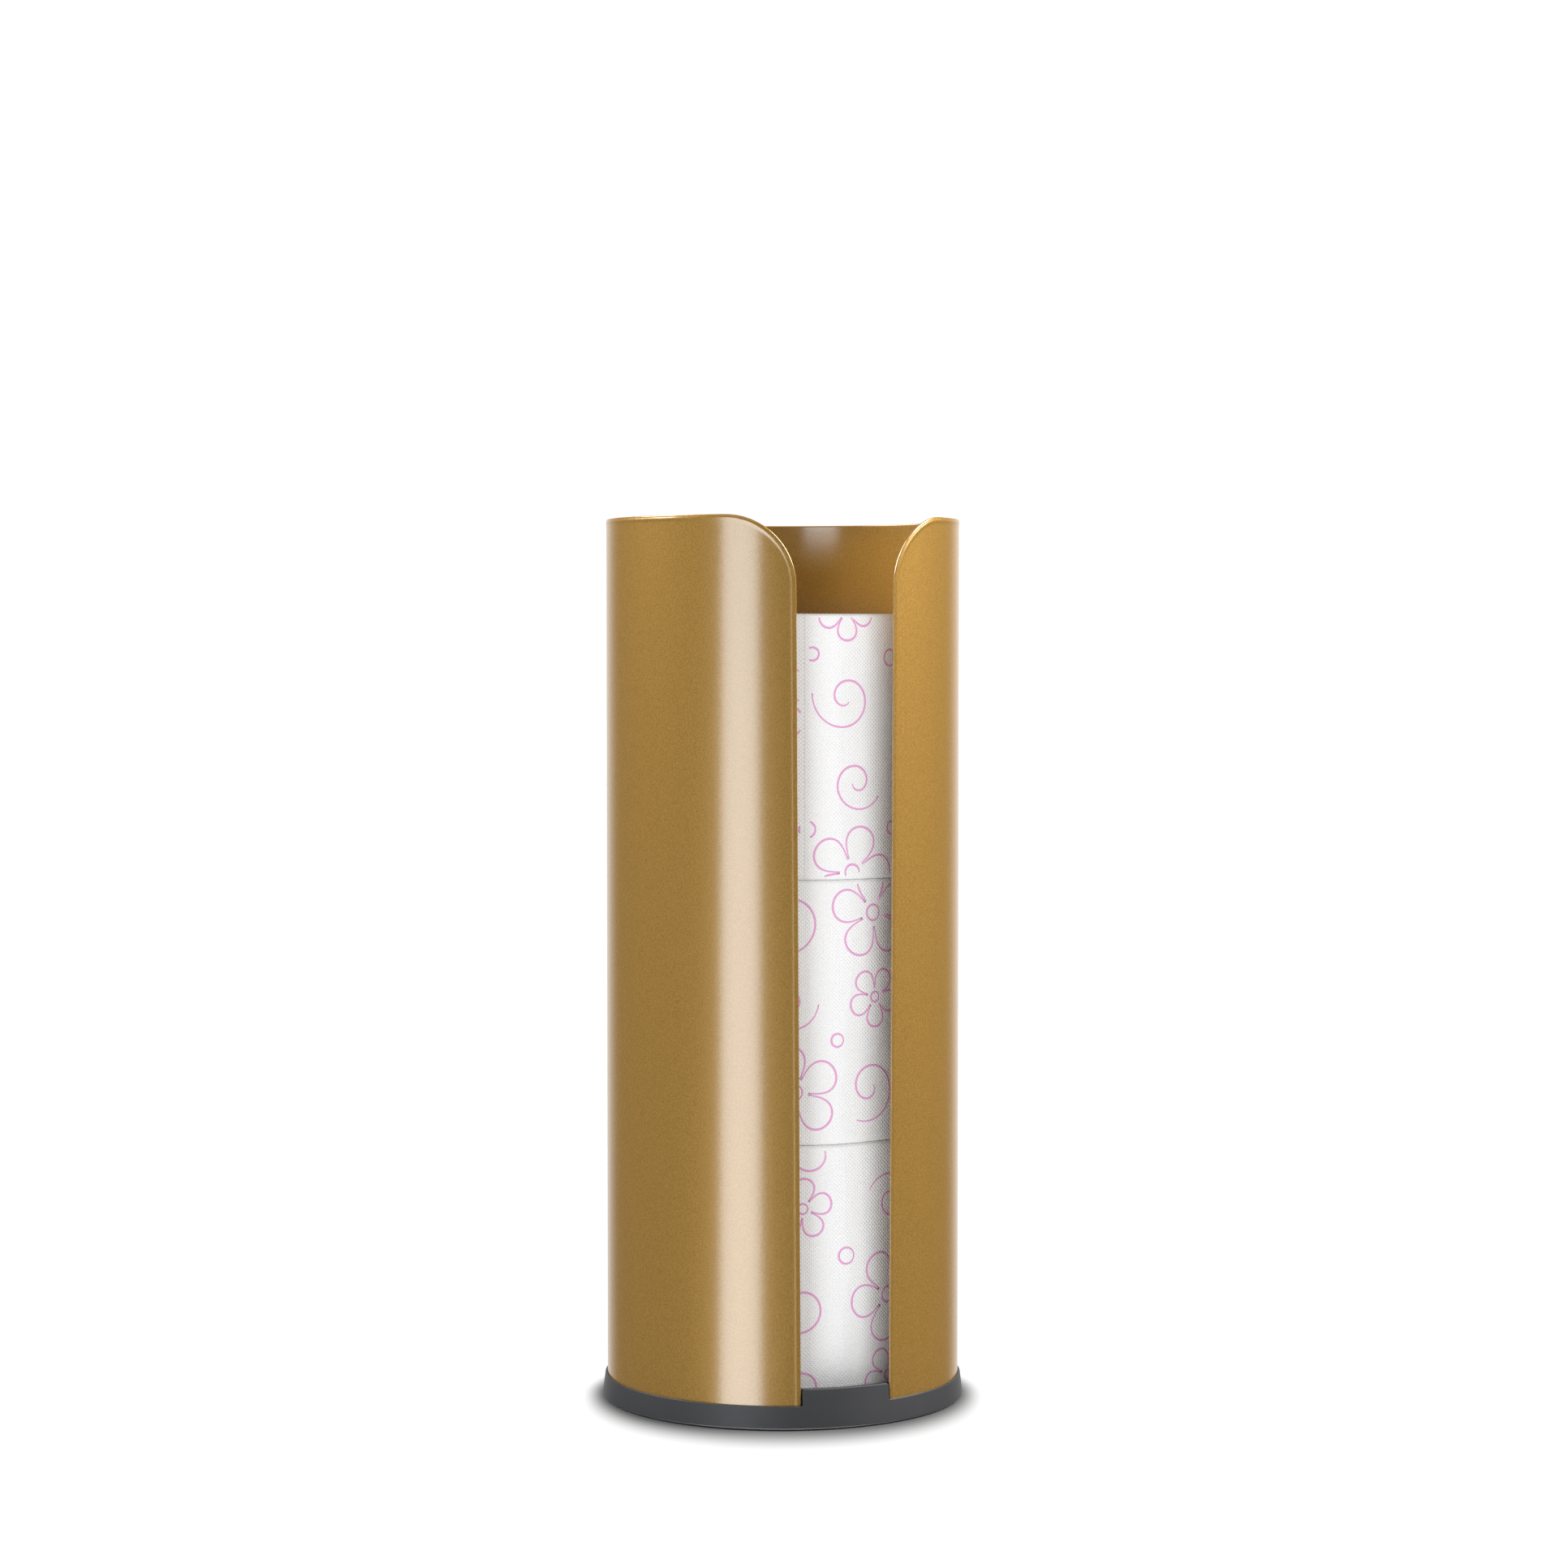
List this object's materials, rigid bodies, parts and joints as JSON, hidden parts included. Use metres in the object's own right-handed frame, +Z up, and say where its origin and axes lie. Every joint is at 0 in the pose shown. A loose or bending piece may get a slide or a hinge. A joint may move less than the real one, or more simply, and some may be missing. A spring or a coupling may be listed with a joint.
{
  "type": "toilet roll storage holder",
  "caption": "Free-standing upright tube of coated sheet steel in a moulded anti-slip base, with a full-height front slot, that stores a stack of toilet rolls.",
  "frame": {"origin": "centre of the base on the floor plane that the anti-slip pads stand on", "axes": "+Z up along the axis of the shell, -Y towards the front slot, +X to the right of someone facing the slot"},
  "size_m": [0.1362, 0.1362, 0.33],
  "materials": {
    "shell_coating": "satin gold-bronze metallic powder coat",
    "base_plastic": "fine-grained matte anthracite",
    "pad_rubber": "matte",
    "tissue_paper": "embossed white tissue with a pink line print",
    "core_board": "spiral-wound grey-brown board"
  },
  "bodies": {
    "holder": {"shell": "shell_coating", "base": "base_plastic", "back_right_pad": "pad_rubber", "back_left_pad": "pad_rubber", "front_left_pad": "pad_rubber", "front_right_pad": "pad_rubber"},
    "bottom_roll": {"bottom_roll_paper": "tissue_paper", "bottom_roll_core": "core_board"},
    "middle_roll": {"middle_roll_paper": "tissue_paper", "middle_roll_core": "core_board"},
    "top_roll": {"top_roll_paper": "tissue_paper", "top_roll_core": "core_board"}
  },
  "joints": [
    {"name": "bottom_roll_lift", "type": "slide", "parent": "holder", "child": "bottom_roll", "axis": [0, 0, 1], "range_m": [0, 0.33]},
    {"name": "middle_roll_lift", "type": "slide", "parent": "bottom_roll", "child": "middle_roll", "axis": [0, 0, 1], "range_m": [0, 0.235]},
    {"name": "top_roll_lift", "type": "slide", "parent": "middle_roll", "child": "top_roll", "axis": [0, 0, 1], "range_m": [0, 0.14]}
  ]
}
